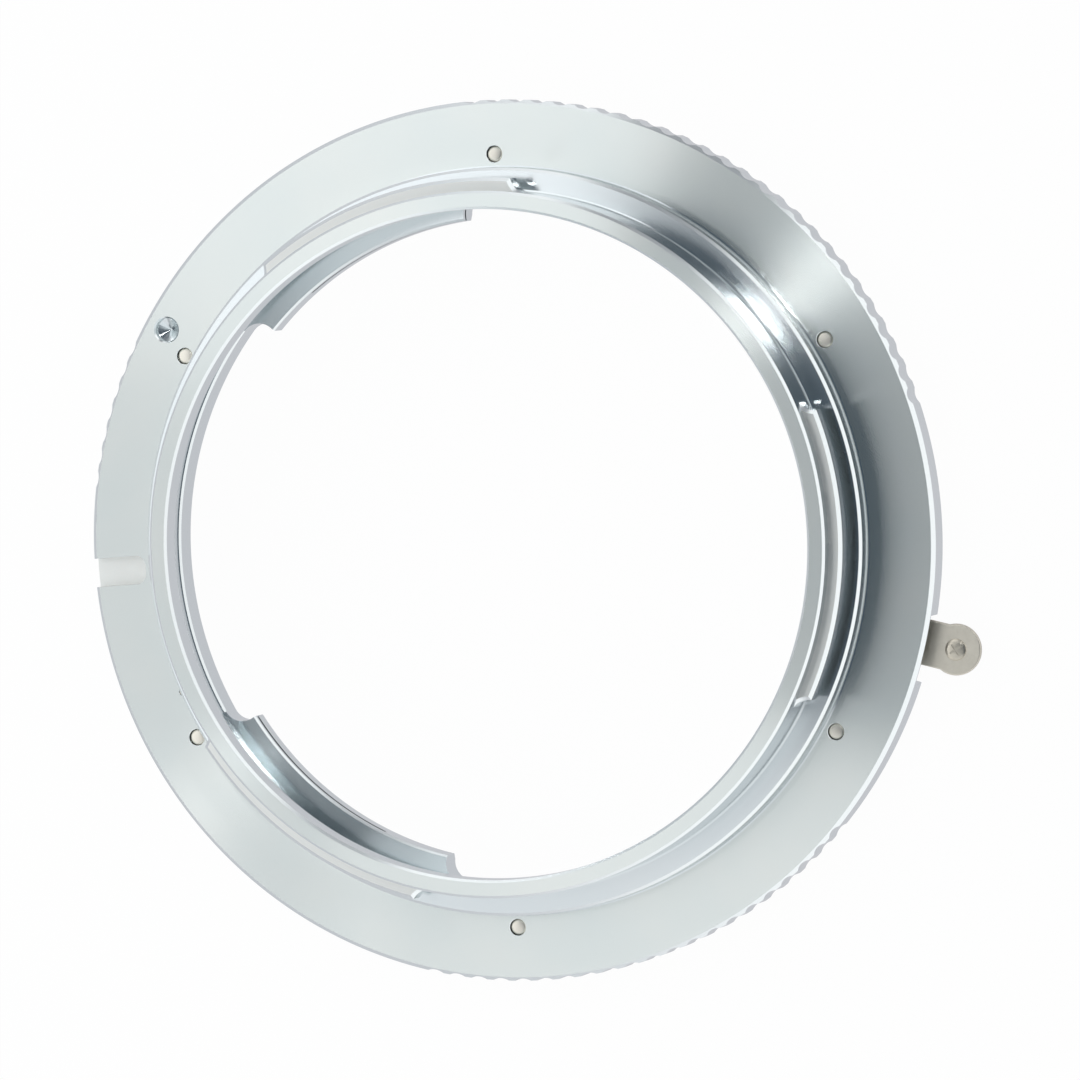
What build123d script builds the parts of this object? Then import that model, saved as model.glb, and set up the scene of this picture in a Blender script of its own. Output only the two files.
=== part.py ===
from build123d import *
import math
import os

os.makedirs("parts", exist_ok=True)

# All lengths are in millimetres, all angles in degrees.
# The frame has its origin on the ring axis at the camera flange face, +Z towards the camera.

# Camera bayonet
pilot_diameter = 53.9          # boss that centres the ring in a 54 mm camera throat
pilot_height = 1.75
pilot_chamfer = 0.2
boss_step = 1.65               # from the boss wall in to the collar
collar_height = 5.75
collar_chamfer = 0.18
collar_wall = 1.3              # at the lip
lip_height = 1.75              # straight stretch of the bore at the lip
cavity_height = 1.2            # room above the flange face in which the lens lugs turn
cavity_wall = 1.65             # from the boss wall in to the cavity
cavity_step = 0.35             # shoulder between the cavity and the flared bore
camera_lug_reach = 0.95        # out from the collar
camera_lug_drop = 1.1          # from the collar's top to the lug
camera_lug_thickness = 1.65
camera_lug_chamfer = 0.25
camera_lug_cutter = 1.4        # radius of the end mill that parts the lugs
camera_lug_spans = [(86.3, 44.1), (214.9, 42.8), (336.1, 46.0)]   # start and width at the outer edge

# Flange and rim
flange_width = 4.9             # from the boss wall out to the rim
rim_chamfer = 0.28             # front edge of the rim
register = 2.5                 # camera flange face to lens flange face
lens_proud = 0.1               # lens flange stands behind the rim by this much
web = 1.35                     # flange left in front of the lens ring
rim_wall = 2.0                 # rim left around the lens ring

# Scallops cut into the rim for grip
scallop_radius = 1.07
scallop_depth = 0.18
scallop_pitch = 3.0
scallop_flats = 14             # each scallop is cut with a few flats of such a cutter
scallop_runs = [(19.8, 26), (154.6, 7), (260.2, 21)]   # first scallop, how many

# Index slot and lock hole in the flange face
slot_angle = 185.1
slot_width = 2.1
slot_length = 4.05             # in from the rim
slot_corner = 0.75
slot_depth = 1.05
lock_hole_diameter = 1.75
lock_hole_depth = 1.15
lock_hole_inset = 1.75         # from the rim in to its centre
lock_hole_angle = 149.9

# Lens bayonet
ring_fit = 0.05                # radial gap wherever the lens ring sits in the camera ring
spigot_step = 0.35             # spigot is this much wider than the cavity
spigot_rise = 1.0              # spigot stands above the plate by this much
gap_step = 0.2                 # opening between the lens lugs is this much inside the cavity
lens_lug_reach = 1.75          # in from that opening
lens_lug_spans = [(98.1, 41.7), (214.1, 44.6), (336.0, 45.0)]   # start and width
lens_lug_corner = 1.4          # cutter corner beside each lug
lens_lug_chamfer = 0.14
lead_in = 0.45                 # chamfer on the lens side of the lugs
leaf_thickness = 0.4           # sprung leaf on the camera side of each lug
slit_width = 0.25
slit_depth = 1.2
slit_angle = 32.0              # part of the lug that is cut free
slit_runout = 3.0              # saw cut past the end of the lug

# Screws that hold the two rings together
screw_count = 6
screw_first = 31.83
screw_offset = 0.99            # out from the boss wall
screw_shank = 1.16
screw_head = 2.4
screw_head_height = 0.62
screw_tip_depth = 0.15         # below the camera flange face
thread_fit = 0.02
shank_fit = 0.15
head_fit = 0.03

# Release lever, a spring strip in a pocket between the rings
lever_thickness = 0.4
lever_depth = 1.55             # strip face below the camera flange face
lever_inside = 0.6             # from the spigot's seat out to the strip
lever_outside = 0.7            # from the strip out to the rim wall
lever_tip_angle = -15.6
lever_root_angle = 26.4
lever_corner = 0.7
tab_angle = -12.4
tab_width = 3.3
tab_end_radius = 1.85
tab_out = 1.95                 # centre of the round end, out from the rim
pocket_side = 0.25             # room around the strip
pocket_floor_gap = 0.1
pocket_lip = 0.45              # flange left in front of the pocket
notch_room = 1.7               # rim notch is this much wider than the tab
notch_angle = -13.2

# Rivet at the root of the strip
rivet_angle = 24.0
rivet_shank = 1.4
rivet_head = 2.4
rivet_head_height = 0.45
rivet_clear = 0.1              # under the head
rivet_fit = 0.08

# Pin that locks the lens, riveted to the strip
lock_pin_diameter = 1.8
lock_pin_proud = 0.75
lock_pin_bevel = 0.3
lock_pin_clear = 0.15
lock_tenon = 1.0
lock_peen = 1.5
peen_height = 0.15
tenon_fit = 0.01

# Post under the finger tab
post_diameter = 2.7
post_length = 1.2
post_chamfer = 0.25
post_tenon = 1.2
post_peen = 1.55

# Dowel that lines up the rings
dowel_diameter = 0.6
dowel_offset = 0.37            # out from the boss wall
dowel_angle = 204.7
dowel_fit = 0.01
dowel_length = 1.88
dowel_low = 0.12               # end below the flange face
dowel_spare = 0.12             # hole past the other end

# Sizes that follow from those above
over = 0.3
pilot_r = pilot_diameter / 2
collar_r = pilot_r - boss_step
lip_r = collar_r - collar_wall
cavity_r = pilot_r - cavity_wall
rim_r = pilot_r + flange_width
recess_r = rim_r - rim_wall
plate_r = recess_r - ring_fit
spigot_r = cavity_r + spigot_step
seat_r = spigot_r + ring_fit
gap_r = cavity_r - gap_step
throat_r = gap_r - lens_lug_reach
screw_r = pilot_r + screw_offset
dowel_r = pilot_r + dowel_offset
lever_inner = seat_r + lever_inside
lever_outer = recess_r - lever_outside
lever_middle = (lever_inner + lever_outer) / 2
tab_reach = rim_r + tab_out
notch_width = tab_width + notch_room
rim_rear = lens_proud - register
spigot_top = spigot_rise - web
slit_top = spigot_top - leaf_thickness
lever_top = -lever_depth
lever_low = lever_top - lever_thickness
pocket_floor = lever_low - pocket_floor_gap
screw_angles = [screw_first + i * 360 / screw_count for i in range(screw_count)]


def at(radius, angle, z=0.0):
    """Point at a radius and an angle about the ring axis."""
    a = math.radians(angle)
    return (radius * math.cos(a), radius * math.sin(a), z)


def rod(radius, low, high, centre=(0, 0)):
    """Upright cylinder between two heights."""
    body = Cylinder(radius, high - low, align=(Align.CENTER, Align.CENTER, Align.MIN))
    return Pos(centre[0], centre[1], low) * body


def cone(low_radius, high_radius, low, high, centre=(0, 0)):
    """Upright cone between two heights."""
    body = Cone(low_radius, high_radius, high - low, align=(Align.CENTER, Align.CENTER, Align.MIN))
    return Pos(centre[0], centre[1], low) * body


def radial_block(width, inner, outer, low, high, angle):
    """Block that runs out along a radius."""
    body = Box(outer - inner, width, high - low, align=(Align.MIN, Align.CENTER, Align.MIN))
    return Rot(0, 0, angle) * Pos(inner, 0, low) * body


def turned(points):
    """Solid turned about the ring axis from radius and height points."""
    line = Polyline(*[(r, 0, z) for r, z in points], close=True)
    return revolve(make_face(line), Axis.Z)


def sector(inner, outer, start, width):
    """Flat piece of a ring between two radii and two angles."""
    middle = start + width / 2
    end = start + width
    outline = ThreePointArc(at(outer, start), at(outer, middle), at(outer, end))
    outline += Line(at(outer, end), at(inner, end))
    outline += ThreePointArc(at(inner, end), at(inner, middle), at(inner, start))
    outline += Line(at(inner, start), at(outer, start))
    return make_face(outline)


def lift(face, low, high):
    """Flat piece made solid between two heights."""
    return Pos(0, 0, low) * extrude(face, amount=high - low, dir=(0, 0, 1))


def corners(face, radius):
    """Corners of a flat piece that lie at a radius from the ring axis."""
    return [v for v in face.vertices() if abs(math.hypot(v.X, v.Y) - radius) < 0.02]


def camera_blank():
    """Turned ring before any milling."""
    return turned([
        (cavity_r, spigot_top),
        (cavity_r, cavity_height),
        (cavity_r - cavity_step, cavity_height),
        (lip_r, collar_height - lip_height),
        (lip_r, collar_height - collar_chamfer),
        (lip_r + collar_chamfer, collar_height),
        (collar_r - collar_chamfer, collar_height),
        (collar_r, collar_height - collar_chamfer),
        (collar_r, pilot_height),
        (pilot_r - pilot_chamfer, pilot_height),
        (pilot_r, pilot_height - pilot_chamfer),
        (pilot_r, 0),
        (rim_r - rim_chamfer, 0),
        (rim_r, -rim_chamfer),
        (rim_r, rim_rear),
        (recess_r, rim_rear),
        (recess_r, -web),
        (seat_r, -web),
        (seat_r, spigot_top),
    ])


def camera_lug(start, width):
    """Bayonet lug on the collar, its ends hollowed by an end mill that just touches the collar."""
    outer = collar_r + camera_lug_reach
    away = collar_r + camera_lug_cutter
    spread = (outer ** 2 + away ** 2 - camera_lug_cutter ** 2) / (2 * outer * away)
    clear = math.degrees(math.acos(spread))
    plan = sector(collar_r - 2 * camera_lug_chamfer, outer, start - clear, width + 2 * clear)
    for angle in (start - clear, start + width + clear):
        plan -= Pos(*at(away, angle)) * Circle(camera_lug_cutter)
    top = collar_height - camera_lug_drop
    body = lift(plan, top - camera_lug_thickness, top)
    return chamfer(body.faces().sort_by(Axis.Z)[-1].edges(), camera_lug_chamfer)


def scallops():
    """Cutters for the grip scallops on the rim, each with a flat that faces the ring axis."""
    centre = rim_r - scallop_depth + scallop_radius
    turn = Rot(0, 0, 180 / scallop_flats)
    flats = Pos(centre, 0) * turn * RegularPolygon(scallop_radius, scallop_flats, major_radius=False)
    cutter = lift(flats, rim_rear - over, over)
    angles = [first + i * scallop_pitch for first, count in scallop_runs for i in range(count)]
    return [Rot(0, 0, angle) * cutter for angle in angles]


def pocket_outline():
    """Outline of the lever pocket, the strip with room around it."""
    room = math.degrees(2 * pocket_side / lever_inner)
    width = lever_root_angle - lever_tip_angle + 2 * room
    return sector(lever_inner - pocket_side, lever_outer + pocket_side, lever_tip_angle - room, width)


def index_slot():
    """Radial slot with a milled inner end."""
    body = radial_block(slot_width, rim_r - slot_length, rim_r + over, -slot_depth, over, slot_angle)
    reach = [e for e in body.edges().filter_by(Axis.Z) if math.hypot(e.center().X, e.center().Y) < rim_r]
    return fillet(reach, slot_corner)


def lock_hole():
    """Blind hole for the camera's locking pin."""
    return rod(lock_hole_diameter / 2, -lock_hole_depth, over, at(rim_r - lock_hole_inset, lock_hole_angle))


def camera_ring():
    """Flange, boss, collar and lugs in one turned and milled piece."""
    ring = camera_blank()
    ring += [camera_lug(*span) for span in camera_lug_spans]
    ring -= scallops()
    ring -= index_slot()
    ring -= lock_hole()
    tapped = screw_shank / 2 + thread_fit
    ring -= [rod(tapped, -web - over, over, at(screw_r, a)) for a in screw_angles]
    ring -= rod(dowel_diameter / 2 + dowel_fit, -web - over, over, at(dowel_r, dowel_angle))
    ring -= lift(pocket_outline(), -web - over, -pocket_lip)
    out = rim_r + over
    ring -= radial_block(notch_width, lever_outer - over, out, rim_rear - over, -pocket_lip, notch_angle)
    return ring


def lens_bevel(level, rise):
    """Cutter that bevels the inner edge of the lens lugs, upwards or downwards from a height."""
    side = math.copysign(over, rise)
    return turned([
        (throat_r - over, level + side),
        (throat_r + abs(rise) + over, level + side),
        (throat_r - over, level - rise - side),
    ])


def lens_opening():
    """Opening of the lens ring seen from above, with the three lugs left standing."""
    opening = Circle(gap_r)
    for start, width in lens_lug_spans:
        opening -= sector(throat_r, gap_r + over, start, width)
    return fillet(corners(opening, gap_r), lens_lug_corner)


def lens_ring():
    """Inset bayonet plate with a spigot and three sprung lugs."""
    opening = lens_opening()
    ring = lift(Circle(plate_r) - opening, -register, -web)
    ring += lift(Circle(spigot_r) - opening, -register, spigot_top)
    ring -= lens_bevel(spigot_top, lens_lug_chamfer)
    ring -= lens_bevel(-register, -lead_in)
    for start, width in lens_lug_spans:
        cut = sector(throat_r - over, throat_r + slit_depth, start - slit_runout, slit_angle + slit_runout)
        ring -= lift(cut, slit_top - slit_width, slit_top)
    hole = screw_shank / 2 + shank_fit
    sunk = -register + screw_head_height + head_fit
    for a in screw_angles:
        ring -= rod(hole, -register - over, over - web, at(screw_r, a))
        ring -= cone(screw_head / 2 + head_fit, hole, -register, sunk, at(screw_r, a))
    ring -= lift(pocket_outline(), pocket_floor, over - web)
    ring -= radial_block(notch_width, lever_outer - over, plate_r + over, pocket_floor, over - web, notch_angle)
    way = lock_pin_diameter / 2 + lock_pin_clear
    ring -= rod(way, -register - over, pocket_floor + over, at(lever_middle, tab_angle))
    root = at(lever_middle, rivet_angle)
    ring -= rod(rivet_shank / 2 + tenon_fit, -register - over, pocket_floor + over, root)
    low = -dowel_low - dowel_length - dowel_spare
    ring -= rod(dowel_diameter / 2 + dowel_fit, low, over - web, at(dowel_r, dowel_angle))
    return ring


def ring_screw(angle):
    """Countersunk screw, head in the lens flange."""
    spot = at(screw_r, angle)
    low = head_fit - register
    neck = screw_shank / 2
    head = cone(screw_head / 2, neck, low, low + screw_head_height, spot)
    return head + rod(neck, low, -screw_tip_depth, spot)


def ring_screws():
    return Compound(children=[ring_screw(a) for a in screw_angles])


def release_lever():
    """Spring strip with the finger tab at its free end."""
    strip = sector(lever_inner, lever_outer, lever_tip_angle, lever_root_angle - lever_tip_angle)
    strip = fillet(strip.vertices(), lever_corner)
    neck = Pos((lever_middle + tab_reach) / 2, 0) * Rectangle(tab_reach - lever_middle, tab_width)
    end = Pos(tab_reach, 0) * Circle(tab_end_radius)
    body = lift(strip + Rot(0, 0, tab_angle) * (neck + end), lever_low, lever_top)
    low = lever_low - over
    high = lever_top + over
    body -= rod(rivet_shank / 2 + rivet_fit, low, high, at(lever_middle, rivet_angle))
    body -= rod(lock_tenon / 2 + tenon_fit, low, high, at(lever_middle, tab_angle))
    body -= rod(post_tenon / 2 + tenon_fit, low, high, at(tab_reach, tab_angle))
    return body


def lock_pin():
    """Pin that reaches through the lens flange, peened on the strip."""
    spot = at(lever_middle, tab_angle)
    body = rod(lock_pin_diameter / 2, -register - lock_pin_proud, lever_low, spot)
    body = chamfer(body.faces().sort_by(Axis.Z)[0].edges(), lock_pin_bevel)
    body += rod(lock_tenon / 2, lever_low - over, lever_top, spot)
    return body + cone(lock_peen / 2, lock_tenon / 2, lever_top, lever_top + peen_height, spot)


def finger_post():
    """Post under the tab, riveted over on top."""
    spot = at(tab_reach, tab_angle)
    body = rod(post_diameter / 2, lever_low - post_length, lever_low, spot)
    body = chamfer(body.faces().sort_by(Axis.Z)[0].edges(), post_chamfer)
    body += rod(post_tenon / 2, lever_low - over, lever_top, spot)
    return body + cone(post_peen / 2, post_tenon / 2, lever_top, lever_top + peen_height, spot)


def lever_rivet():
    """Rivet that holds the root of the strip to the lens ring."""
    spot = at(lever_middle, rivet_angle)
    low = lever_top + rivet_clear
    return rod(rivet_shank / 2, -register, low, spot) + rod(rivet_head / 2, low, low + rivet_head_height, spot)


def locating_pin():
    return rod(dowel_diameter / 2, -dowel_low - dowel_length, -dowel_low, at(dowel_r, dowel_angle))


pieces = {
    "camera_ring": camera_ring(),
    "lens_ring": lens_ring(),
    "ring_screws": ring_screws(),
    "release_lever": release_lever(),
    "lock_pin": lock_pin(),
    "finger_post": finger_post(),
    "lever_rivet": lever_rivet(),
    "locating_pin": locating_pin(),
}
for name, piece in pieces.items():
    export_step(piece, f"parts/{name}.step")
    print(name, round(piece.volume, 2))
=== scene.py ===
# %% [markdown]
# # A lens mount adapter, dressed for the studio
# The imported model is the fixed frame: a plated camera ring, an inset lens ring, six small screws,
# and a spring lever with its pin and post. Every size below is in millimetres. The pieces
# are modelled with one unit to a millimetre, because a Boolean compares points with a fixed tolerance and
# works better on large numbers, and they are brought down to metres when they are finished.

# %% Load the frame and keep its box
import math
import bmesh
import bpy
from mathutils import Matrix, Vector


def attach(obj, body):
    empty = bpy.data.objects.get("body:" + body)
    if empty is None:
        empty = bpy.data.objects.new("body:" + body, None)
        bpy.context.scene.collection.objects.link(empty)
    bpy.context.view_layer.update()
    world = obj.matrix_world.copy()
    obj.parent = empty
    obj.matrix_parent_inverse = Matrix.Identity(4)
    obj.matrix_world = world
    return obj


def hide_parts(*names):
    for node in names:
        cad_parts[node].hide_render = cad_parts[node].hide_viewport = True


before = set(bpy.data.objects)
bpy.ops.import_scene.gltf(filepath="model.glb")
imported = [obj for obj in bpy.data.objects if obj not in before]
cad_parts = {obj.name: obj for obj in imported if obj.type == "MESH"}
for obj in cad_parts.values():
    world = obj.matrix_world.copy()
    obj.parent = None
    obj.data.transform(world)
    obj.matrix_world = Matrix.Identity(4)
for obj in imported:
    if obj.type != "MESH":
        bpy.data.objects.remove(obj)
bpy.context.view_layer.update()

# %% [markdown]
# ## Drawing by vertices
# A lathe and a mill make almost everything here, so the pieces start in the same way: one vertex is
# put at a place, drawn along by extruding it, and the finished line is spun about an axis. A plane
# merged to its centre gives that first vertex, and one helper picks vertices by their place.

# %% Places and picking
WELD = 0.0005
WELD_ARCS = 0.002


def at(radius, angle, z=0.0):
    """Point at a radius and an angle about the ring axis."""
    a = math.radians(angle)
    return Vector((radius * math.cos(a), radius * math.sin(a), z))


def pick(test, kind="verts"):
    """Selects, in edit mode, the vertices, edges or faces whose middle passes a test."""
    bpy.ops.mesh.select_mode(type={"verts": "VERT", "edges": "EDGE", "faces": "FACE"}[kind])
    bpy.ops.mesh.select_all(action="DESELECT")
    mesh = bpy.context.object.data
    work = bmesh.from_edit_mesh(mesh)
    for part in getattr(work, kind):
        middle = part.co if kind == "verts" else sum((v.co for v in part.verts), Vector()) / len(part.verts)
        if test(middle):
            part.select_set(True)
    work.select_flush_mode()
    bmesh.update_edit_mesh(mesh)


def choose(piece):
    """Makes a piece the only selected one and the active one."""
    bpy.ops.object.select_all(action="DESELECT")
    piece.select_set(True)
    bpy.context.view_layer.objects.active = piece


def first_vertex(name, place):
    """New mesh of one vertex at a place, left in edit mode."""
    bpy.ops.object.select_all(action="DESELECT")
    bpy.ops.mesh.primitive_plane_add(size=1, location=(0, 0, 0))
    piece = bpy.context.object
    piece.name = name
    bpy.ops.object.mode_set(mode="EDIT")
    bpy.ops.mesh.select_mode(type="VERT")
    bpy.ops.mesh.select_all(action="SELECT")
    bpy.ops.mesh.merge(type="CENTER")
    bpy.ops.transform.translate(value=place)
    return piece


def draw(places):
    """Extrudes the selected vertex along a list of places, the first one being where it stands."""
    for here, there in zip(places, places[1:]):
        bpy.ops.mesh.extrude_region_move(TRANSFORM_OT_translate={"value": there - here})


def arc(centre, degrees, steps):
    """Spins the selected vertex about an upright axis, counterclockwise seen from above."""
    bpy.ops.mesh.spin(steps=steps, angle=-math.radians(degrees), center=centre, axis=(0, 0, 1))


def raise_outline(height, weld):
    """Closes the drawn outline, fills it and extrudes it upwards."""
    bpy.ops.mesh.select_all(action="SELECT")
    bpy.ops.mesh.remove_doubles(threshold=weld)
    bpy.ops.mesh.select_all(action="SELECT")
    bpy.ops.mesh.edge_face_add()
    bpy.ops.mesh.extrude_region_move(TRANSFORM_OT_translate={"value": (0, 0, height)})


def tidy():
    """Merges doubles, turns the faces outwards and leaves edit mode."""
    bpy.ops.mesh.select_all(action="SELECT")
    bpy.ops.mesh.remove_doubles(threshold=WELD)
    bpy.ops.mesh.normals_make_consistent(inside=False)
    bpy.ops.object.mode_set(mode="OBJECT")


print("drawing helpers ready")

# %% [markdown]
# ## Turning
# A turned solid is its half section spun about the ring axis. A full turn closes on itself, and a part
# of a turn gets its two ends filled. A spin of 480 steps keeps each facet under half a millimetre, so
# the round edges stay round in a close view. Most cutters reach 0.3 mm past the metal they take away.

# %% The lathe
ROUND = 480
PAST = 0.3


def turned(name, section, first=0.0, sweep=360.0):
    """Solid spun from a closed half section of radius and height points, over a sweep of angles."""
    places = [at(r, first, z) for r, z in section]
    piece = first_vertex(name, places[0])
    draw(places)
    ends = (places[0], places[-1])
    pick(lambda p: min((p - e).length for e in ends) < WELD)
    bpy.ops.mesh.edge_face_add()
    bpy.ops.mesh.select_all(action="SELECT")
    steps = max(4, round(ROUND * sweep / 360))
    bpy.ops.mesh.spin(steps=steps, angle=math.radians(-sweep), center=(0, 0, 0), axis=(0, 0, 1))
    bpy.ops.mesh.select_all(action="SELECT")
    bpy.ops.mesh.remove_doubles(threshold=WELD)
    if sweep < 360:
        bpy.ops.mesh.select_all(action="SELECT")
        bpy.ops.mesh.fill_holes(sides=0)
    tidy()
    return piece


def combine(piece, tool, how="DIFFERENCE"):
    """Cuts a tool from a piece or joins it on with a Boolean, and takes the tool away."""
    choose(piece)
    bpy.ops.object.modifier_add(type="BOOLEAN")
    change = piece.modifiers[-1]
    change.operation = how
    change.solver = "EXACT"
    change.object = tool
    bpy.ops.object.modifier_apply(modifier=change.name)
    bpy.data.objects.remove(tool)


RIM = 31.85
RIM_BEVEL = 0.28
REAR = -2.4
REAR_BEVEL = 0.12
PILOT = 26.95
BOSS_TOP = 1.75
BOSS_BEVEL = 0.2
COLLAR = 25.3
COLLAR_TOP = 5.75
COLLAR_BEVEL = 0.18
LIP = 24.0
LIP_LOW = 4.0
FLARE = 24.95
CAVITY = 25.3
CAVITY_TOP = 1.2
SPIGOT_TOP = -0.35
RECESS = 29.85
RECESS_BEVEL = 0.1
SEAT = 25.7
WEB = -1.35
camera_ring = turned("camera_ring_plated", [
    (CAVITY, SPIGOT_TOP), (CAVITY, CAVITY_TOP), (FLARE, CAVITY_TOP), (LIP, LIP_LOW),
    (LIP, COLLAR_TOP - COLLAR_BEVEL), (LIP + COLLAR_BEVEL, COLLAR_TOP),
    (COLLAR - COLLAR_BEVEL, COLLAR_TOP), (COLLAR, COLLAR_TOP - COLLAR_BEVEL),
    (COLLAR, BOSS_TOP + 0.15), (COLLAR + 0.04, BOSS_TOP + 0.04), (COLLAR + 0.15, BOSS_TOP),
    (PILOT - BOSS_BEVEL, BOSS_TOP), (PILOT, BOSS_TOP - BOSS_BEVEL),
    (PILOT, 0.16), (PILOT + 0.05, 0.05), (PILOT + 0.16, 0.0),
    (RIM - RIM_BEVEL, 0.0), (RIM, -RIM_BEVEL), (RIM, REAR + REAR_BEVEL), (RIM - REAR_BEVEL, REAR),
    (RECESS + RECESS_BEVEL, REAR), (RECESS, REAR + RECESS_BEVEL), (RECESS, WEB), (SEAT, WEB),
    (SEAT, SPIGOT_TOP),
])
print("camera ring turned,", len(camera_ring.data.polygons), "faces")

# %% [markdown]
# ## Camera lugs
# Three lugs stand out from the collar and hook behind the camera's own flange. On the real ring they are
# left standing when an end mill clears the gaps between them, so each end is hollow where the round cutter
# stopped beside the collar. Each lug is drawn as a flat outline here: the cutter's arc, the outer edge, the
# other arc, and back inside the collar. It is extruded to its height, and an inset that is raised lays the
# bevel all round the top.

# %% Lugs joined to the collar
LUG_SPANS = ((86.3, 44.1), (214.9, 42.8), (336.1, 46.0))
LUG_OUTER = 26.25
LUG_TOP = 4.65
LUG_LOW = 3.0
LUG_BEVEL = 0.25
LUG_CUTTER = 1.4


def camera_lug(start, width):
    """One lug with hollow ends and a bevelled top, given by its outer edge."""
    inner = COLLAR - 0.5
    foot = COLLAR - 0.03
    away = foot + LUG_CUTTER
    clear = math.acos((LUG_OUTER ** 2 + away ** 2 - LUG_CUTTER ** 2) / (2 * LUG_OUTER * away))
    sweep = math.degrees(math.asin(LUG_OUTER * math.sin(clear) / LUG_CUTTER))
    first = start - math.degrees(clear)
    last = start + width + math.degrees(clear)
    places = [at(inner, first, LUG_LOW), at(foot, first, LUG_LOW)]
    lug = first_vertex("camera_lug", places[0])
    draw(places)
    arc(at(away, first, LUG_LOW), -sweep, 10)
    arc((0, 0, 0), width, 56)
    arc(at(away, last, LUG_LOW), -sweep, 10)
    draw([at(foot, last, LUG_LOW), at(inner, last, LUG_LOW)])
    arc((0, 0, 0), first - last, 61)
    raise_outline(LUG_TOP - LUG_BEVEL - LUG_LOW, WELD)
    bpy.ops.mesh.inset(thickness=LUG_BEVEL, depth=0)
    bpy.ops.transform.translate(value=(0, 0, LUG_BEVEL))
    tidy()
    return lug


for start, width in LUG_SPANS:
    combine(camera_ring, camera_lug(start, width), "UNION")
print("lugs joined,", len(camera_ring.data.polygons), "faces")

# %% [markdown]
# ## Scallops on the rim
# Three runs of shallow round scallops give the fingers a grip. They are milled with a round cutter that
# stands beside the rim and is indexed by about three degrees. One cutter is made as a cylinder, copied round
# the ring by a spin that duplicates, and cut away. Neighbouring cutters would overlap, so every second one
# is cut in a pass of its own.

# %% Scallop cutters
SCALLOP = 1.07
SCALLOP_DEPTH = 0.18
PITCH = 3.0
RUNS = ((19.8, 26), (154.6, 7), (260.2, 21))


def scallop_cutters(first, count):
    """Every second cutter of a run, starting at an angle."""
    bpy.ops.object.select_all(action="DESELECT")
    spot = at(RIM - SCALLOP_DEPTH + SCALLOP, first, -1.2)
    bpy.ops.mesh.primitive_cylinder_add(vertices=48, radius=SCALLOP, depth=4, location=spot)
    cutter = bpy.context.object
    bpy.ops.object.transform_apply(location=True, rotation=True, scale=True)
    bpy.ops.object.mode_set(mode="EDIT")
    bpy.ops.mesh.select_all(action="SELECT")
    if count > 1:
        sweep = math.radians(-2 * PITCH * (count - 1))
        bpy.ops.mesh.spin(steps=count - 1, dupli=True, angle=sweep, center=(0, 0, 0), axis=(0, 0, 1))
    bpy.ops.object.mode_set(mode="OBJECT")
    return cutter


for first, count in RUNS:
    combine(camera_ring, scallop_cutters(first, (count + 1) // 2))
    combine(camera_ring, scallop_cutters(first + PITCH, count // 2))
print("scallops cut,", sum(count for _, count in RUNS), "in", len(RUNS), "runs")

# %% [markdown]
# ## Holes and milled cuts
# Every hole has its edge broken by a small bevel, which is what catches the light. So the drill is a
# cylinder whose top is extruded a little further and scaled out. Blocks along a radius cut the slot and the
# notch, and their corners are rounded with a bevel on the upright edges, as an end mill leaves them.

# %% Drills and mills
def drill(radius, low, spot, high=0.0, bevel=0.08, sides=48, point=0.0):
    """Drill that ends at low, flat or with a point, and a flare that breaks the edge of the hole at high."""
    bpy.ops.object.select_all(action="DESELECT")
    top = high - bevel
    centre = spot + Vector((0, 0, (low + top) / 2))
    bpy.ops.mesh.primitive_cylinder_add(vertices=sides, radius=radius, depth=(top - low),
                                        location=centre)
    tool = bpy.context.object
    bpy.ops.object.transform_apply(location=True, rotation=True, scale=True)
    bpy.ops.object.mode_set(mode="EDIT")
    pick(lambda p: p.z > top - 0.001, "faces")
    reach = 2 * bevel
    bpy.ops.mesh.extrude_region_move(TRANSFORM_OT_translate={"value": (0, 0, reach)})
    wider = (radius + reach) / radius
    bpy.ops.transform.resize(value=(wider, wider, 1), center_override=spot)
    if point:
        pick(lambda p: p.z < low + 0.001, "faces")
        bpy.ops.mesh.inset(thickness=0.94 * radius, depth=0)
        bpy.ops.transform.translate(value=(0, 0, -point))
    tidy()
    return tool


def bar(place, size, turn):
    """Small block at a place, turned about its upright axis, that cuts a recess or a punch mark."""
    bpy.ops.object.select_all(action="DESELECT")
    bpy.ops.mesh.primitive_cube_add(size=1, location=place)
    tool = bpy.context.object
    tool.scale = Vector(size)
    tool.rotation_euler = (0, 0, math.radians(turn))
    bpy.ops.object.transform_apply(location=True, rotation=True, scale=True)
    return tool


def mill(width, inner, outer, low, high, angle, corner=0.0):
    """Block along a radius whose inner upright edges are rounded."""
    bpy.ops.object.select_all(action="DESELECT")
    bpy.ops.mesh.primitive_cube_add(size=1, location=(0, 0, 0))
    tool = bpy.context.object
    tool.scale = Vector((outer - inner, width, high - low))
    tool.location = at((inner + outer) / 2, 0, (low + high) / 2)
    bpy.ops.object.transform_apply(location=True, rotation=True, scale=True)
    bpy.ops.object.mode_set(mode="EDIT")
    if corner:
        pick(lambda p: p.x < inner + 0.01 and abs(p.z - (low + high) / 2) < 0.01 and abs(p.y) > 0.1, "edges")
        bpy.ops.mesh.bevel(offset=corner, segments=8, affect="EDGES")
    tidy()
    tool.rotation_euler = (0, 0, math.radians(angle))
    bpy.ops.object.transform_apply(location=True, rotation=True, scale=True)
    return tool


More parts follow.
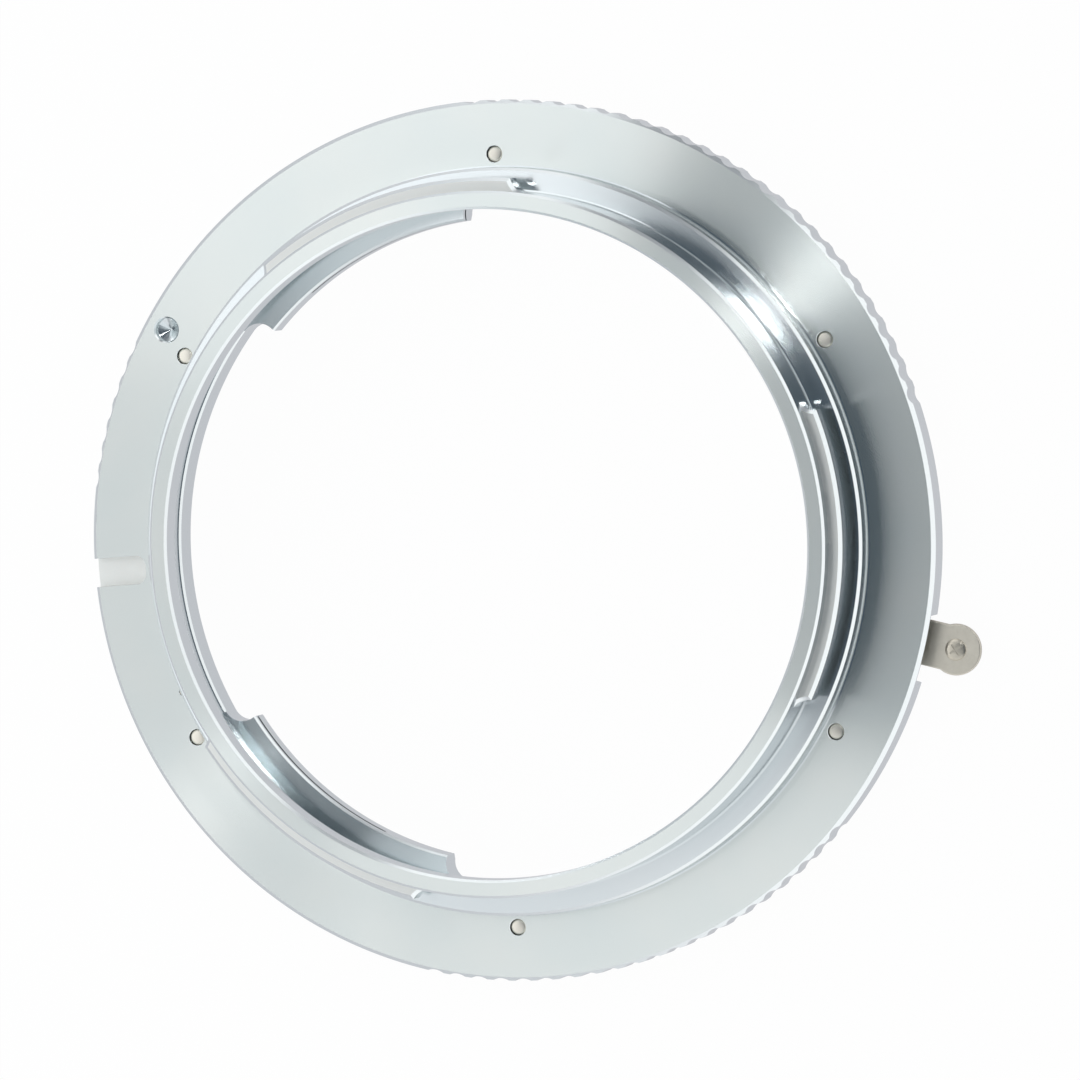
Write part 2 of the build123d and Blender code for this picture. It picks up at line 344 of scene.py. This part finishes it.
SCREWS = [31.83 + 60 * i for i in range(6)]
SCREW_CIRCLE = 27.94
TAPPED = 0.6
DOWEL = at(27.32, 204.7)
DOWEL_HOLE = 0.31
LOCK = at(30.1, 149.9)
LOCK_HOLE = 0.875
LOCK_FLOOR = -0.68
SLOT_ANGLE = 185.1
SLOT_WIDTH = 2.1
SLOT_LENGTH = 4.05
SLOT_FLOOR = -1.05
THROUGH = -1.6
for angle in SCREWS:
    combine(camera_ring, drill(TAPPED, THROUGH, at(SCREW_CIRCLE, angle), bevel=0.03))
combine(camera_ring, drill(DOWEL_HOLE, THROUGH, DOWEL, bevel=0.04))
combine(camera_ring, drill(LOCK_HOLE, LOCK_FLOOR, LOCK, bevel=0.1, point=0.46))
slot_end = RIM - SLOT_LENGTH
combine(camera_ring, mill(SLOT_WIDTH, slot_end, RIM + 0.4, SLOT_FLOOR, PAST, SLOT_ANGLE, corner=0.75))
print("holes and slot cut,", len(camera_ring.data.polygons), "faces")

# %% [markdown]
# ## Room for the lever
# The lever lies in a pocket between the two rings, and its tab comes out through a notch in the rim. Both
# rings lose the same outline: the strip with a quarter of a millimetre of room around it.

# %% Pocket and notch
LEVER_IN = 26.3
LEVER_OUT = 29.15
LEVER_MIDDLE = (LEVER_IN + LEVER_OUT) / 2
LEVER_TIP = -15.6
LEVER_ROOT = 26.4
RIVET = 24.0
TAB = -12.4
ROOM = 0.25
POCKET_TOP = -0.45
POCKET_LOW = -2.05
NOTCH = -13.2
NOTCH_WIDTH = 5.0
end_room = math.degrees(2 * ROOM / LEVER_IN)


def pocket(low, high):
    """Cutter for the lever's pocket between two heights."""
    inner, outer = LEVER_IN - ROOM, LEVER_OUT + ROOM
    section = [(inner, low), (outer, low), (outer, high), (inner, high)]
    return turned("pocket", section, LEVER_TIP - end_room, LEVER_ROOT - LEVER_TIP + 2 * end_room)


combine(camera_ring, pocket(WEB - PAST, POCKET_TOP))
notch = mill(NOTCH_WIDTH, LEVER_OUT - PAST, RIM + PAST, REAR - PAST, POCKET_TOP, NOTCH, corner=0.2)
combine(camera_ring, notch)
print("lever pocket and notch cut")

# %% [markdown]
# ## Lens ring
# The plate that takes the lens sits in the back of the camera ring. Its opening has three lugs, and the
# cutter that cleared the gaps left a 1.4 mm corner beside each lug. The outline is drawn with arcs and lines
# all the way round, filled, extruded and cut from a turned blank.

# %% Blank and opening
PLATE = 29.8
SPIGOT = 25.65
GAP = 25.1
THROAT = 23.35
LENS_FACE = -2.5
LENS_SPANS = ((98.1, 41.7), (214.1, 44.6), (336.0, 45.0))
CUTTER = 1.4
lens_ring = turned("lens_ring_plated", [
    (THROAT - 0.6, LENS_FACE), (PLATE - 0.08, LENS_FACE), (PLATE, LENS_FACE + 0.08), (PLATE, WEB),
    (SPIGOT, WEB), (SPIGOT, SPIGOT_TOP - 0.05), (SPIGOT - 0.05, SPIGOT_TOP), (THROAT - 0.6, SPIGOT_TOP),
])


def lens_opening():
    """Solid of the opening between the lens lugs, taller than the ring."""
    low = LENS_FACE - 1
    turn_in = math.degrees(math.asin(CUTTER / (GAP - CUTTER)))
    foot = (GAP - CUTTER) * math.cos(math.radians(turn_in))
    end = sum(LENS_SPANS[-1]) - 360
    opening = first_vertex("lens_opening", at(GAP, end + turn_in, low))
    for start, width in LENS_SPANS:
        arc((0, 0, 0), start - end - 2 * turn_in, 92)
        arc(at(GAP - CUTTER, start - turn_in, low), 90 + turn_in, 14)
        draw([at(foot, start, low), at(THROAT, start, low)])
        arc((0, 0, 0), width, 62)
        end = start + width
        draw([at(THROAT, end, low), at(foot, end, low)])
        arc(at(GAP - CUTTER, end + turn_in, low), 90 + turn_in, 14)
    raise_outline(4.5, WELD_ARCS)
    tidy()
    return opening


combine(lens_ring, lens_opening())
print("lens ring opened,", len(lens_ring.data.polygons), "faces")

# %% [markdown]
# ## Lens lugs, slits and seats
# The inner edge of each lug is bevelled towards the camera and has a longer lead-in towards the lens. The
# edge of the opening between the lugs is deburred, up to the cutter's corners, and shows as a bright line.
# A thin saw cut frees a leaf on top of each lug. On the real ring the leaf is bent a little, so that it
# grips the lens. The screws sit in countersinks on the lens face.

# %% Lug bevels, saw slits and holes
PAST_CORNER = 3.4
SLIT_LOW = -1.0
SLIT_TOP = -0.75
SLIT_DEPTH = 1.2
SLIT_LEAD = 3.1
SLIT_SWEEP = 35.1


def bevel_cone(edge, level, bevel, way):
    """Half section of a cutter that bevels the edge of a hole at a level, from above (1) or below (-1)."""
    reach = bevel + PAST
    start = level + way * PAST
    return [(edge - PAST, start), (edge + reach, start), (edge - PAST, level - way * reach)]


combine(lens_ring, turned("bevel_top", bevel_cone(THROAT, SPIGOT_TOP, 0.14, 1), first=0.2))
combine(lens_ring, turned("lead_in", bevel_cone(THROAT, LENS_FACE, 0.45, -1), first=0.3))
burr = bevel_cone(GAP, SPIGOT_TOP, 0.15, 1)
for (start, width), (following, _) in zip(LENS_SPANS, LENS_SPANS[1:] + LENS_SPANS[:1]):
    first = start + width + PAST_CORNER
    combine(lens_ring, turned("gap_edge", burr, first, (following - PAST_CORNER - first) % 360))
slit_front, slit_end = THROAT - PAST, THROAT + SLIT_DEPTH
slit = [(slit_front, SLIT_LOW), (slit_end, SLIT_LOW), (slit_end, SLIT_TOP), (slit_front, SLIT_TOP)]
for start, _ in LENS_SPANS:
    combine(lens_ring, turned("saw_slit", slit, start - SLIT_LEAD, SLIT_SWEEP))


def from_below(tool):
    """Turns a drill over, so that it comes from the lens side."""
    tool.rotation_euler = (math.pi, 0, 0)
    bpy.ops.object.transform_apply(location=True, rotation=True, scale=True)
    return tool


for angle in SCREWS:
    combine(lens_ring, from_below(drill(0.73, 0.8, at(SCREW_CIRCLE, -angle), high=-LENS_FACE, bevel=0.5)))
combine(lens_ring, pocket(POCKET_LOW, WEB + PAST))
combine(lens_ring, mill(NOTCH_WIDTH, LEVER_OUT - PAST, PLATE + PAST, POCKET_LOW, WEB + PAST, NOTCH))
combine(lens_ring, from_below(drill(1.05, 1.5, at(LEVER_MIDDLE, -TAB), high=-LENS_FACE, bevel=0.1)))
combine(lens_ring, from_below(drill(0.71, 1.5, at(LEVER_MIDDLE, -RIVET), high=-LENS_FACE, bevel=0.02)))
combine(lens_ring, drill(DOWEL_HOLE, -2.12, DOWEL, high=WEB + PAST, bevel=0.02))
print("lens ring finished,", len(lens_ring.data.polygons), "faces")

# %% [markdown]
# ## Ring screws
# Six small countersunk screws come in from the lens side, and their ends show in the camera flange. One is
# modelled from a cylinder: the head is its lower end scaled out, the tip is rounded over by three insets,
# and a cross recess is cut in the head. The other five are copies turned about the axis.

# %% One screw and five copies
SHANK = 0.58
HEAD = 1.2
HEAD_FACE = -2.47
HEAD_EDGE = 0.06
HEAD_TOP = -1.85
TIP = -0.28


def ring_screw():
    """Screw at the first place, with a cross recess and a rounded tip."""
    spot = at(SCREW_CIRCLE, SCREWS[0])
    bpy.ops.object.select_all(action="DESELECT")
    bpy.ops.mesh.primitive_cylinder_add(vertices=40, radius=SHANK, depth=(TIP - HEAD_TOP),
                                        location=spot + Vector((0, 0, (TIP + HEAD_TOP) / 2)))
    screw = bpy.context.object
    screw.name = "ring_screw_1"
    bpy.ops.object.transform_apply(location=True, rotation=True, scale=True)
    bpy.ops.object.mode_set(mode="EDIT")
    pick(lambda p: p.z < HEAD_TOP + 0.001, "faces")
    drop = Vector((0, 0, HEAD_FACE + HEAD_EDGE - HEAD_TOP))
    bpy.ops.mesh.extrude_region_move(TRANSFORM_OT_translate={"value": drop})
    wider = HEAD / SHANK
    bpy.ops.transform.resize(value=(wider, wider, 1), center_override=spot)
    bpy.ops.mesh.extrude_region_move(TRANSFORM_OT_translate={"value": (0, 0, -HEAD_EDGE)})
    pick(lambda p: p.z > TIP - 0.001, "faces")
    for thickness, lift in ((0.06, 0.1), (0.09, 0.05), (0.16, 0.02)):
        bpy.ops.mesh.inset(thickness=thickness, depth=0)
        bpy.ops.transform.translate(value=(0, 0, lift))
    tidy()
    for turn in (20, 110):
        combine(screw, bar(spot + Vector((0, 0, HEAD_FACE)), (1.3, 0.26, 0.8), turn))
    return screw


screws = [ring_screw()]
for i in range(1, len(SCREWS)):
    choose(screws[0])
    bpy.ops.object.duplicate(linked=False)
    copy = bpy.context.object
    copy.name = f"ring_screw_{i + 1}"
    copy.rotation_euler = (0, 0, math.radians(60 * i))
    bpy.ops.object.transform_apply(location=True, rotation=True, scale=True)
    screws.append(copy)
print(len(screws), "screws,", len(screws[0].data.polygons), "faces each")

# %% [markdown]
# ## Release lever and its post
# The lever is blanked from thin spring steel and deburred, so its outline is drawn flat, extruded by the
# sheet's thickness and given a small bevel all round. The post under the finger tab is turned, pushed
# through and riveted over, and the punch has left a cross in its end.

# %% Lever strip with its tab
TAB_WIDTH = 3.3
TAB_REACH = 33.8
TAB_END = 1.85
LEVER_TOP = -1.55
LEVER_LOW = -1.95
CORNER = 0.7


def flat_round(radius, spot, low, high, sides=64):
    """Plain disc that cuts a round hole."""
    bpy.ops.object.select_all(action="DESELECT")
    place = spot + Vector((0, 0, (low + high) / 2))
    bpy.ops.mesh.primitive_cylinder_add(vertices=sides, radius=radius, depth=(high - low),
                                        location=place)
    disc = bpy.context.object
    bpy.ops.object.transform_apply(location=True, rotation=True, scale=True)
    return disc


def on_tab(out, across):
    """Point given along the middle line of the tab and across it."""
    return at(out, TAB, LEVER_LOW) + at(across, TAB + 90)


def lever_strip():
    """Blank of the lever: its outline drawn with lines and arcs, then extruded by the sheet's thickness."""
    half = TAB_WIDTH / 2
    neck = math.degrees(math.asin(half / LEVER_OUT))
    wide = math.degrees(math.asin(CORNER / (LEVER_OUT - CORNER)))
    narrow = math.degrees(math.asin(CORNER / (LEVER_IN + CORNER)))
    far = (LEVER_OUT - CORNER) * math.cos(math.radians(wide))
    near = (LEVER_IN + CORNER) * math.cos(math.radians(narrow))
    blank = first_vertex("release_lever_strip", at(LEVER_OUT, TAB + neck, LEVER_LOW))
    arc((0, 0, 0), LEVER_ROOT - wide - TAB - neck, 44)
    arc(at(LEVER_OUT - CORNER, LEVER_ROOT - wide, LEVER_LOW), 90 + wide, 8)
    draw([at(far, LEVER_ROOT, LEVER_LOW), at(near, LEVER_ROOT, LEVER_LOW)])
    arc(at(LEVER_IN + CORNER, LEVER_ROOT - narrow, LEVER_LOW), 90 - narrow, 8)
    arc((0, 0, 0), LEVER_TIP - LEVER_ROOT + 2 * narrow, 48)
    arc(at(LEVER_IN + CORNER, LEVER_TIP + narrow, LEVER_LOW), 90 - narrow, 8)
    run = TAB_REACH - math.sqrt(TAB_END ** 2 - half ** 2)
    draw([at(near, LEVER_TIP, LEVER_LOW), on_tab(LEVER_MIDDLE + 0.4, -half), on_tab(run, -half)])
    swing = 2 * (180 - math.degrees(math.asin(half / TAB_END)))
    arc(at(TAB_REACH, TAB, LEVER_LOW), swing, 36)
    draw([on_tab(run, half), at(LEVER_OUT, TAB + neck, LEVER_LOW)])
    raise_outline(LEVER_TOP - LEVER_LOW, WELD_ARCS)
    tidy()
    return blank


lever = lever_strip()
holes = ((0.78, at(LEVER_MIDDLE, RIVET)), (0.51, at(LEVER_MIDDLE, TAB)), (0.61, at(TAB_REACH, TAB)))
for radius, spot in holes:
    combine(lever, flat_round(radius, spot, LEVER_LOW - PAST, LEVER_TOP + PAST))
choose(lever)
bpy.ops.object.modifier_add(type="BEVEL")
deburring = lever.modifiers[-1]
deburring.width = 0.12
deburring.segments = 3
deburring.limit_method = "ANGLE"
deburring.angle_limit = math.radians(60)
bpy.ops.object.modifier_apply(modifier=deburring.name)
print("lever strip,", len(lever.data.polygons), "faces")

# %% Finger post with a punched end
def around(spot, section, name, sides=48):
    """Small turned piece about an upright axis at a spot."""
    places = [spot + Vector((r, 0, z)) for r, z in section]
    piece = first_vertex(name, places[0])
    draw(places)
    bpy.ops.mesh.select_all(action="SELECT")
    bpy.ops.mesh.spin(steps=sides, angle=-math.tau, center=spot, axis=(0, 0, 1))
    tidy()
    return piece


POST_FOOT = -3.15
PEEN = LEVER_TOP + 0.15
post = around(at(TAB_REACH, TAB), [
    (0.0, POST_FOOT), (1.1, POST_FOOT), (1.28, POST_FOOT + 0.05), (1.35, POST_FOOT + 0.2),
    (1.35, LEVER_LOW), (0.6, LEVER_LOW), (0.6, LEVER_TOP), (0.775, LEVER_TOP),
    (0.74, LEVER_TOP + 0.05), (0.6, LEVER_TOP + 0.11), (0.4, LEVER_TOP + 0.14), (0.0, PEEN),
], "finger_post_peened")
for turn in (35, 125):
    combine(post, bar(at(TAB_REACH, TAB, PEEN + 0.02), (0.95, 0.13, 0.16), turn))
print("finger post,", len(post.data.polygons), "faces")

# %% [markdown]
# ## Ride, replace and shade
# Each new piece rides on the body that the frame gives its node, and stands for that node. Faces are shaded
# smooth up to twelve degrees, so turned walls look round while every bevel keeps its crisp line.

# %% Bodies and smooth shading
LENGTH = 0.001
dressed = {
    camera_ring: ("ring", "camera_ring", "plated_brass"),
    lens_ring: ("ring", "lens_ring", "plated_brass"),
    lever: ("lever", "release_lever", "spring_steel"),
    post: ("lever", "finger_post", "pin_steel"),
}
for screw in screws:
    dressed[screw] = ("ring", "ring_screws", "screw_steel")
for piece, (body, node, finish) in dressed.items():
    choose(piece)
    piece.scale = (LENGTH, LENGTH, LENGTH)
    bpy.ops.object.transform_apply(location=True, rotation=True, scale=True)
    bpy.ops.object.shade_smooth_by_angle(angle=math.radians(12))
    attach(piece, body)
    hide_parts(node)
print("pieces dressed:", len(dressed))

# %% [markdown]
# ## Colours and nodes
# Colours are written as sRGB hex values, as they would be read off a picture, and made linear for the
# shader. One small function adds any node, sets it up and links it.

# %% Colour and node helpers
def colour(hex_value):
    """Linear colour from an sRGB hex value."""
    parts = [int(hex_value[i:i + 2], 16) / 255 for i in (1, 3, 5)]
    return [c / 12.92 if c <= 0.04045 else ((c + 0.055) / 1.055) ** 2.4 for c in parts] + [1.0]


def add(tree, kind, inputs=None, **settings):
    """Adds a node, sets it up, and fills its inputs with values or with links from other nodes."""
    node = tree.nodes.new(kind)
    for name, value in settings.items():
        setattr(node, name, value)
    for name, value in (inputs or {}).items():
        socket = node.inputs[name]
        if isinstance(value, bpy.types.NodeSocket):
            tree.links.new(value, socket)
        else:
            socket.default_value = value
    return node


def new_material(name):
    """Empty node material."""
    made = bpy.data.materials.new(name)
    made.use_nodes = True
    made.node_tree.nodes.clear()
    return made


print("colour check", [round(c, 3) for c in colour("#808080")[:3]])

# %% [markdown]
# ## Bright-plated turned brass
# The rings are turned brass with a bright zinc plating. The plating is thin, so the fine rings of the lathe
# tool still show through it. They run round the axis and blur reflections across themselves, which gives
# the radial sheen and the bright ray that follows a lamp. The tangent therefore runs round the axis and
# the shine is anisotropic, turned by a quarter. The flange and the collar's top were faced with a coarser
# feed, so they are satin. The steps, walls and chamfers got a fine feed, so they are nearly mirrors.
# Lathe marks of about 0.06 mm are as fine as a pixel here, so they only show as a faint grain.

# %% Plated brass
def plated(name, cool, warm, rough, spread):
    """Zinc-plated turned brass with two tints, a roughness and an anisotropy."""
    made = new_material(name)
    tree = made.node_tree
    place = add(tree, "ShaderNodeTexCoord")
    flat = add(tree, "ShaderNodeVectorMath", {0: place.outputs["Object"], 1: (1, 1, 0)},
               operation="MULTIPLY")
    radius = add(tree, "ShaderNodeVectorMath", {0: flat.outputs[0]}, operation="LENGTH")
    split = add(tree, "ShaderNodeSeparateXYZ", {0: place.outputs["Object"]})
    feed = add(tree, "ShaderNodeMath", {0: split.outputs["Z"], 1: 1.7, 2: radius.outputs["Value"]},
               operation="MULTIPLY_ADD")
    along = add(tree, "ShaderNodeMath", {0: feed.outputs[0], 1: 1 / LENGTH}, operation="MULTIPLY")
    marks = add(tree, "ShaderNodeTexNoise", {"W": along.outputs[0], "Scale": 16.0, "Detail": 1.0},
                noise_dimensions="1D")
    clouds = add(tree, "ShaderNodeTexNoise", {"Vector": place.outputs["Object"], "Scale": 1 / (9 * LENGTH)})
    tint = add(tree, "ShaderNodeMix", {"Factor": clouds.outputs["Fac"], "A": colour(cool),
                                       "B": colour(warm)}, data_type="RGBA")
    groove = add(tree, "ShaderNodeBump", {"Height": marks.outputs["Fac"], "Strength": 0.3,
                                          "Distance": 0.001 * LENGTH})
    cross = add(tree, "ShaderNodeVectorMath", {0: (0, 0, 1), 1: place.outputs["Object"]},
                operation="CROSS_PRODUCT")
    round_way = add(tree, "ShaderNodeVectorMath", {0: cross.outputs[0]}, operation="NORMALIZE")
    shine = add(tree, "ShaderNodeBsdfPrincipled", {
        "Metallic": 1.0, "Roughness": rough, "Anisotropic": spread, "Anisotropic Rotation": 0.25,
        "Tangent": round_way.outputs[0], "Normal": groove.outputs[0]})
    tree.links.new(tint.outputs["Result"], shine.inputs["Base Color"])
    add(tree, "ShaderNodeOutputMaterial", {"Surface": shine.outputs[0]})
    return made


fine = plated("zinc_plated_brass_fine_turned", "#DCE3E5", "#E5E9EA", 0.16, 0.8)
faced = plated("zinc_plated_brass_faced", "#DAE2E1", "#E8EAE6", 0.26, 1.0)
print("materials", fine.name, faced.name)

# %% [markdown]
# ## Steel for the lever, the pins and the screws
# The lever is stainless spring steel, tumbled to take off the burrs, so it is warmer and duller than the
# plating, with a mottled grain in all directions. Pins and post are turned from the same steel. The screws
# are nickel plated, brighter and a little yellow.

# %% Steels
def mottled(name, warm, bright, rough, grain):
    """Tumbled, turned or milled metal with a mottled grain of a given size in millimetres."""
    made = new_material(name)
    tree = made.node_tree
    place = add(tree, "ShaderNodeTexCoord")
    speck = add(tree, "ShaderNodeTexNoise", {"Vector": place.outputs["Object"], "Detail": 4.0,
                                             "Scale": 1 / (grain * LENGTH), "Roughness": 0.6})
    shade = add(tree, "ShaderNodeMix", {"Factor": speck.outputs["Fac"], "A": colour(warm),
                                        "B": colour(bright)}, data_type="RGBA")
    gloss = add(tree, "ShaderNodeMapRange", {"Value": speck.outputs["Fac"], "From Min": 0.3, "From Max": 0.7,
                                             "To Min": rough - 0.06, "To Max": rough + 0.06})
    dents = add(tree, "ShaderNodeBump", {"Height": speck.outputs["Fac"], "Strength": 0.5,
                                         "Distance": 0.01 * LENGTH})
    shine = add(tree, "ShaderNodeBsdfPrincipled", {"Metallic": 1.0, "Roughness": gloss.outputs[0],
                                                   "Normal": dents.outputs[0]})
    tree.links.new(shade.outputs["Result"], shine.inputs["Base Color"])
    add(tree, "ShaderNodeOutputMaterial", {"Surface": shine.outputs[0]})
    return made


spring = mottled("stainless_spring_steel_tumbled", "#CFC9BB", "#E2DDD1", 0.46, 0.35)
pin = mottled("stainless_pin_steel_turned", "#C4BDAE", "#DAD4C6", 0.34, 0.25)
nickel = mottled("nickel_plated_steel", "#DFDACD", "#EBE7DD", 0.34, 0.2)


def coat(piece, material):
    """Gives a piece one material all over."""
    piece.data.materials.clear()
    piece.data.materials.append(material)


for piece, material in ((camera_ring, fine), (lens_ring, fine), (lever, spring), (post, pin)):
    coat(piece, material)
for screw in screws:
    coat(screw, nickel)
for node in ("lock_pin", "lever_rivet", "locating_pin"):
    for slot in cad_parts[node].material_slots:
        slot.material = pin
print("steels given to", len(screws) + 5, "pieces")

# %% [markdown]
# ## Faced and milled areas of the camera ring
# Two finishes on the camera ring differ from the rest. The flange and the collar's top are faced, so they
# are satin across the rings. The slot and the tops of the lugs were cut with an end mill, and its fine
# crossing marks scatter light evenly. Each area is picked by its place.

# %% Areas by place
milled = mottled("zinc_plated_brass_milled", "#DBDEDC", "#E6E6E2", 0.45, 0.3)
LEVEL = 0.002


def is_faced(place):
    """Whether a point, in metres, lies on the flange face or the collar's top."""
    p = place / LENGTH
    return abs(p.z - COLLAR_TOP) < LEVEL or (abs(p.z) < LEVEL and p.xy.length > PILOT + 0.1)


def is_milled(place):
    """Whether a point, in metres, lies in the slot or on top of a lug."""
    p = place / LENGTH
    q = Matrix.Rotation(math.radians(-SLOT_ANGLE), 3, "Z") @ p
    in_width = q.x > slot_end - 0.05 and abs(q.y) < SLOT_WIDTH / 2 + 0.01
    in_slot = in_width and SLOT_FLOOR - 0.02 < q.z < -0.004
    return in_slot or abs(p.z - LUG_TOP) < LEVEL


choose(camera_ring)
for index, (material, test) in enumerate(((faced, is_faced), (milled, is_milled)), start=1):
    camera_ring.data.materials.append(material)
    camera_ring.active_material_index = index
    bpy.ops.object.mode_set(mode="EDIT")
    pick(test, "faces")
    bpy.ops.object.material_slot_assign()
    bpy.ops.object.mode_set(mode="OBJECT")
given = [f.material_index for f in camera_ring.data.polygons]
print("faces fine, faced and milled", [given.count(i) for i in range(3)])

# %% [markdown]
# ## Floor, light and camera
# The ring lies lens side down on a white table. The floor is white to the camera, with a faint shadow, and a
# pale grey in reflections, which gives the upright walls their tone. Two large soft panels hang over the
# left and the front. The ceiling that they leave free, behind and to the right, is dim, and the right side
# of the ring mirrors it. The horizon is white, so that the bevels show as thin bright lines, and a dim
# stretch of it behind the ring darkens the rim's bevel there. Three small lamps make the hot streak at the
# upper right: one on the flange beside the boss, one on the boss and the collar, one on the boss's edge.

# %% Floor
TABLE = -3.25
bpy.ops.object.select_all(action="DESELECT")
bpy.ops.mesh.primitive_plane_add(size=4, location=(0, 0, TABLE * LENGTH))
floor = bpy.context.object
floor.name = "floor"
paper = new_material("white_table_paper")
tree = paper.node_tree
ray = add(tree, "ShaderNodeLightPath")
seen = add(tree, "ShaderNodeMath", {0: ray.outputs["Is Camera Ray"], 1: ray.outputs["Is Glossy Ray"]},
           operation="MAXIMUM")
shown = add(tree, "ShaderNodeMath", {0: seen.outputs[0], 1: ray.outputs["Is Transmission Ray"]},
            operation="MAXIMUM")
part = add(tree, "ShaderNodeMath", {0: shown.outputs[0], 1: 0.97}, operation="MULTIPLY")
matt = add(tree, "ShaderNodeBsdfDiffuse", {"Color": colour("#F4F4F4")})
white = add(tree, "ShaderNodeMix", {"Factor": ray.outputs["Is Camera Ray"], "A": colour("#D7D7DB"),
                                    "B": colour("#FFFFFF")}, data_type="RGBA")
glow = add(tree, "ShaderNodeEmission", {"Strength": 1.0})
tree.links.new(white.outputs["Result"], glow.inputs["Color"])
both = add(tree, "ShaderNodeMixShader", {0: part.outputs[0], 1: matt.outputs[0], 2: glow.outputs[0]})
add(tree, "ShaderNodeOutputMaterial", {"Surface": both.outputs[0]})
floor.data.materials.append(paper)
print("floor at", round(floor.location.z / LENGTH, 2), "mm")

# %% Dim ceiling and bright horizon
world = bpy.data.worlds.new("studio")
bpy.context.scene.world = world
world.use_nodes = True
tree = world.node_tree
tree.nodes.clear()
way = add(tree, "ShaderNodeTexCoord")
rise = add(tree, "ShaderNodeSeparateXYZ", {0: way.outputs["Generated"]})
height = add(tree, "ShaderNodeMapRange", {"Value": rise.outputs["Z"], "From Min": 0.35, "From Max": 0.62},
             interpolation_type="SMOOTHSTEP")
sky = add(tree, "ShaderNodeMix", {"Factor": height.outputs[0], "A": colour("#FFFFFF"),
                                  "B": colour("#444E57")}, data_type="RGBA")
ahead = add(tree, "ShaderNodeVectorMath", {0: way.outputs["Generated"], 1: (0.26, 0.966, 0)},
            operation="DOT_PRODUCT")
door = add(tree, "ShaderNodeMapRange", {"Value": ahead.outputs["Value"], "From Min": 0.93, "From Max": 0.985,
                                        "To Max": 0.8}, interpolation_type="SMOOTHSTEP")
room = add(tree, "ShaderNodeMix", {"Factor": door.outputs[0], "B": colour("#4A5058")}, data_type="RGBA")
tree.links.new(sky.outputs["Result"], room.inputs["A"])
ray = add(tree, "ShaderNodeLightPath")
view = add(tree, "ShaderNodeMix", {"Factor": ray.outputs["Is Camera Ray"], "B": colour("#FFFFFF")},
           data_type="RGBA")
tree.links.new(room.outputs["Result"], view.inputs["A"])
back = add(tree, "ShaderNodeBackground", {"Strength": 1.25})
tree.links.new(view.outputs["Result"], back.inputs["Color"])
add(tree, "ShaderNodeOutputWorld", {"Surface": back.outputs[0]})
print("ceiling and horizon set")

# %% Panels and lamps
def panel(name, centre, size, aim, glow, turn=0.0):
    """Soft rectangular light at a place, aimed at a point, with the radiance of its face."""
    bpy.ops.object.select_all(action="DESELECT")
    bpy.ops.object.light_add(type="AREA", location=Vector(centre) * LENGTH)
    lamp = bpy.context.object
    lamp.name = name
    lamp.data.shape = "RECTANGLE"
    lamp.data.size, lamp.data.size_y = size[0] * LENGTH, size[1] * LENGTH
    lamp.data.energy = glow * math.pi * lamp.data.size * lamp.data.size_y
    away = (Vector(centre) - Vector(aim)).normalized()
    side = Vector((math.cos(math.radians(turn)), math.sin(math.radians(turn)), 0))
    side = (side - away * side.dot(away)).normalized()
    facing = Matrix((side, away.cross(side), away)).transposed().to_4x4()
    lamp.matrix_world = Matrix.Translation(Vector(centre) * LENGTH) @ facing
    lamp.visible_camera = False
    return lamp


panel("left_panel", (-448, 115, 400), (700, 1000), (-448, 115, 0), 1.18, turn=-23)
panel("front_panel", (-17, -358, 400), (500, 500), (-17, -358, 0), 0.78, turn=-27)
panel("streak_lamp", (150, 207, 328), (20, 20), (21, 18, 0), 40.0)
panel("far_lamp", (46, 123, 400), (36, 20), (0, 0, 0), 26.0, turn=-50)
panel("glint_lamp", (-9.7, 14.9, 110), (4, 4), (20, 17, 0), 6.0)

# %% Camera
LENS = 240.2
EYE = Vector((156.0, 26.9, 495.3))
TOWARDS = Vector((0.300, 0.0516, 0.9526)).normalized()
right = Vector((0, 1, 0)).cross(TOWARDS).normalized()
up = TOWARDS.cross(right)
bpy.ops.object.camera_add(location=EYE * LENGTH)
camera = bpy.context.object
facing = Matrix((right, up, TOWARDS)).transposed().to_4x4()
camera.matrix_world = Matrix.Translation(EYE * LENGTH) @ facing
camera.data.sensor_width = 36.0
camera.data.lens = LENS
camera.data.shift_x = 0.0313
camera.data.shift_y = 0.0005
camera.data.clip_start = 0.01
camera.data.clip_end = 10
bpy.context.scene.camera = camera
bpy.context.scene.view_settings.view_transform = "Standard"
print("camera", [round(c, 1) for c in camera.location / LENGTH])
